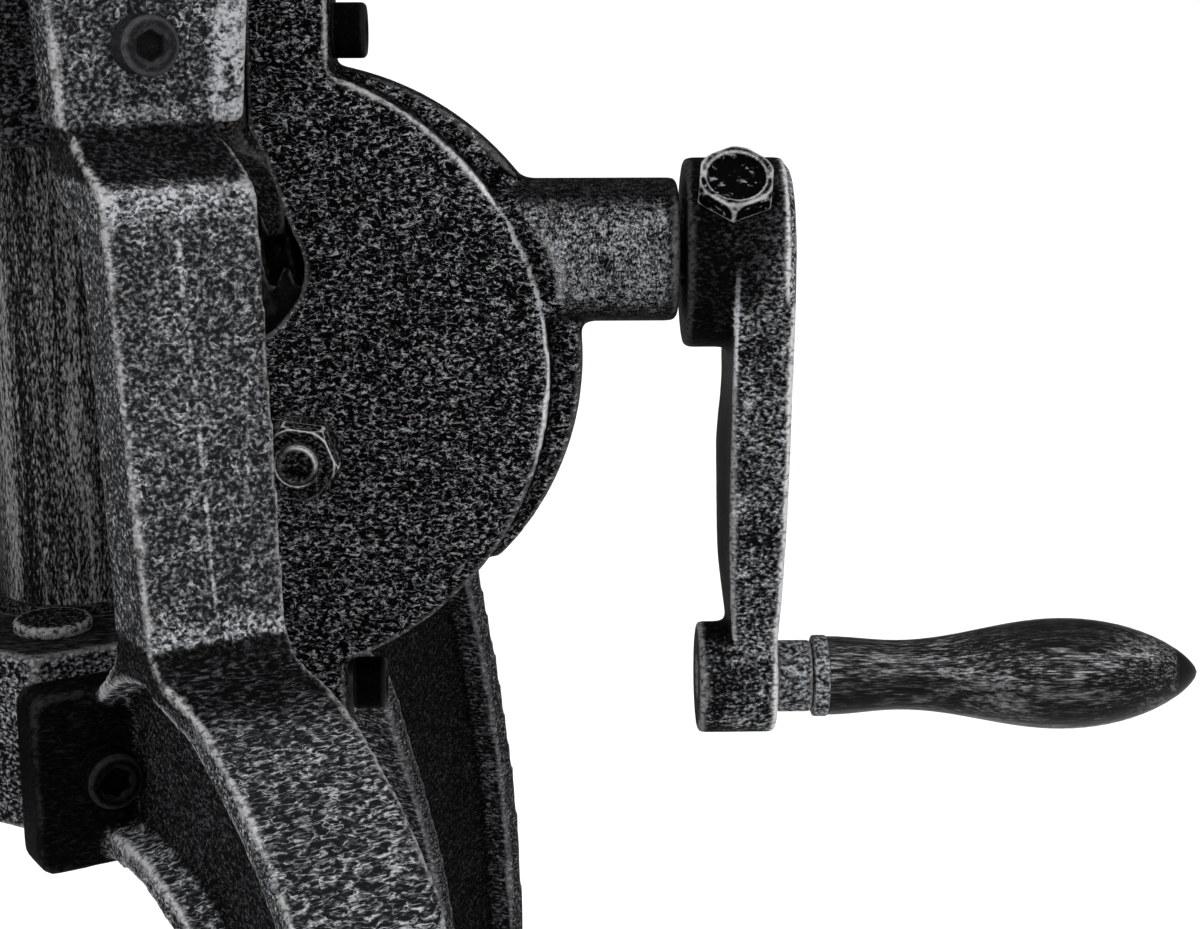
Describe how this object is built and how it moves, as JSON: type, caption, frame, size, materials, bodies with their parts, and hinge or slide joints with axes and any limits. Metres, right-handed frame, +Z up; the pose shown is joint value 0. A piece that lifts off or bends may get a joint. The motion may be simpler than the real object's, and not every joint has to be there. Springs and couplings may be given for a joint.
{
  "type": "hand-cranked lift pedestal",
  "caption": "Hand-cranked lift pedestal: curved cast legs on hexagonal hubs, a bolted gear housing with a crank and torpedo grip, and a column that rises to carry a round top plate.",
  "frame": {"origin": "on the floor, under the axis of the lifting column", "axes": "+Z up along the column, +X along the crank shaft toward the crank, +Y away from the leg that stands at the right of the crank's user"},
  "size_m": [0.5278, 0.434, 0.605],
  "materials": {
    "antique_iron": "near-black paint with silver rubbed over a hammered cast texture, bright on the edges",
    "worn_iron": "near-black paint with heavier silver brushing along the surface",
    "worn_steel": "dark satin with bright worn edges",
    "machined_steel": "machined, lightly oiled",
    "black_oxide": "black oxide, satin",
    "bronze": "machined bearing bronze",
    "grip_wood": "dark stain with silver brushed lengthwise"
  },
  "bodies": {
    "frame": {"upper_hub": "antique_iron", "lower_hub": "antique_iron", "upper_guide_bush": "bronze", "lower_guide_bush": "bronze", "cover_discs": "antique_iron", "leg_front": "antique_iron", "leg_rear": "antique_iron", "leg_left": "antique_iron", "upper_leg_screws": "black_oxide", "lower_leg_screws": "black_oxide", "levelling_feet": "black_oxide", "gear_housing": "antique_iron", "housing_screws": "black_oxide", "housing_washers": "black_oxide", "shaft_bush": "bronze", "gear_axle_bolt": "worn_steel", "gear_axle_nut": "worn_steel", "axle_washers": "worn_steel"},
    "crank": {"crank_shaft": "machined_steel", "thrust_washer": "bronze", "crank_arm": "worn_iron", "clamp_screw": "worn_steel", "handle_spindle": "machined_steel", "handle_neck": "worn_iron"},
    "gear": {"drive_gear": "machined_steel"},
    "column": {"lift_column": "worn_iron", "column_rack": "machined_steel", "rack_screws": "black_oxide", "column_stop": "machined_steel", "stop_screw": "black_oxide", "plate_socket": "antique_iron", "top_plate": "antique_iron", "top_plate_screws": "black_oxide"},
    "grip": {"handle_ferrule": "grip_wood", "handle_grip": "grip_wood", "grip_cap": "grip_wood"}
  },
  "joints": [
    {"name": "crank_spin", "type": "hinge", "parent": "frame", "child": "crank", "pos_m": [0.1, 0, 0.4], "axis": [-1, 0, 0], "range_deg": [-5729, 229]},
    {"name": "gear_spin", "type": "hinge", "parent": "frame", "child": "gear", "pos_m": [0.0574, 0, 0.3524], "axis": [0, 1, 0], "range_deg": [-140, 17]},
    {"name": "column_lift", "type": "slide", "parent": "frame", "child": "column", "axis": [0, 0, 1], "range_m": [-0.1, 0.004]},
    {"name": "grip_spin", "type": "hinge", "parent": "crank", "child": "grip", "pos_m": [0.23, 0, 0.2915], "axis": [1, 0, 0], "continuous": true}
  ],
  "couplings": [
    {"joint": "gear_spin", "follows": "crank_spin", "ratio": 0.02439},
    {"joint": "column_lift", "follows": "crank_spin", "m_per_rad": 0.001}
  ]
}
